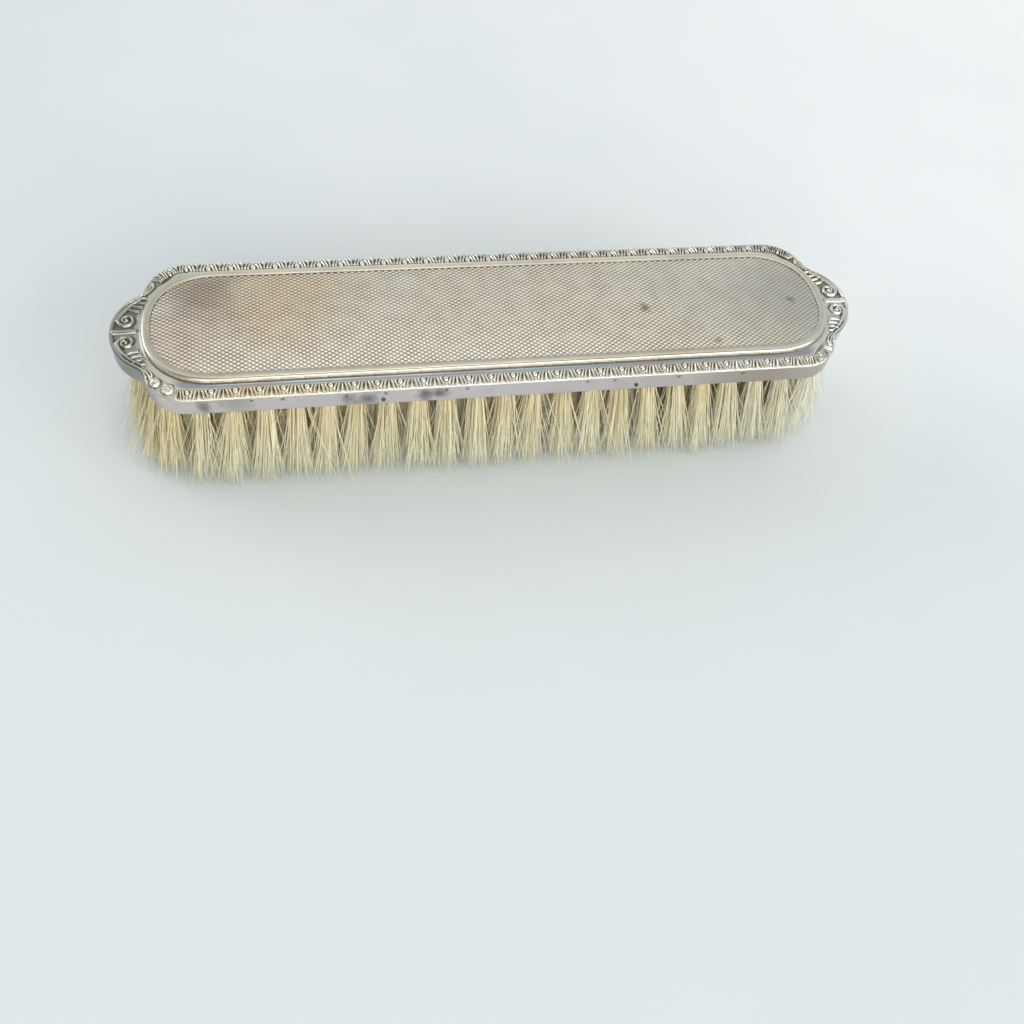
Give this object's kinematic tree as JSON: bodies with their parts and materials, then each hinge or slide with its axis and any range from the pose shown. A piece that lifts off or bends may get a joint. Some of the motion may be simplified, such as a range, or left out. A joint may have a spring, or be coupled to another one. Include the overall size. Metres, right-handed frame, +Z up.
{
  "type": "vanity brush",
  "caption": "Oblong handleless vanity brush: a stamped silver back with an engine-turned field and relief border, over a wooden stock with rows of pale bristle tufts.",
  "frame": {"origin": "on the ground under the middle of the brush, in the plane of the bristle tips", "axes": "+X along the brush, +Y across it, +Z up from the bristle tips through the silver back"},
  "size_m": [0.1806, 0.0412, 0.0345],
  "materials": {
    "silver": "polished silver with light warm tarnish",
    "sprig": "dull silver",
    "stock_wood": "satin",
    "cover_wood": "bare",
    "pitch": "matt resin composition",
    "bristle": "natural bristle",
    "wire": "drawn"
  },
  "bodies": {
    "root": {"silver_back": "silver", "pitch_filling": "pitch", "cover_board": "cover_wood", "bristle_board": "stock_wood", "sprig_front_left": "sprig", "sprig_front_right": "sprig", "sprig_rear_left": "sprig", "sprig_rear_right": "sprig", "sprig_left_end": "sprig", "sprig_right_end": "sprig", "tuft_row_1": "bristle", "tuft_row_2": "bristle", "tuft_row_3": "bristle", "tuft_row_4": "bristle", "tuft_row_5": "bristle", "tuft_row_6": "bristle", "tuft_row_7": "bristle", "drawing_wire_1": "wire", "drawing_wire_2": "wire", "drawing_wire_3": "wire", "drawing_wire_4": "wire", "drawing_wire_5": "wire", "drawing_wire_6": "wire", "drawing_wire_7": "wire"}
  },
  "joints": []
}
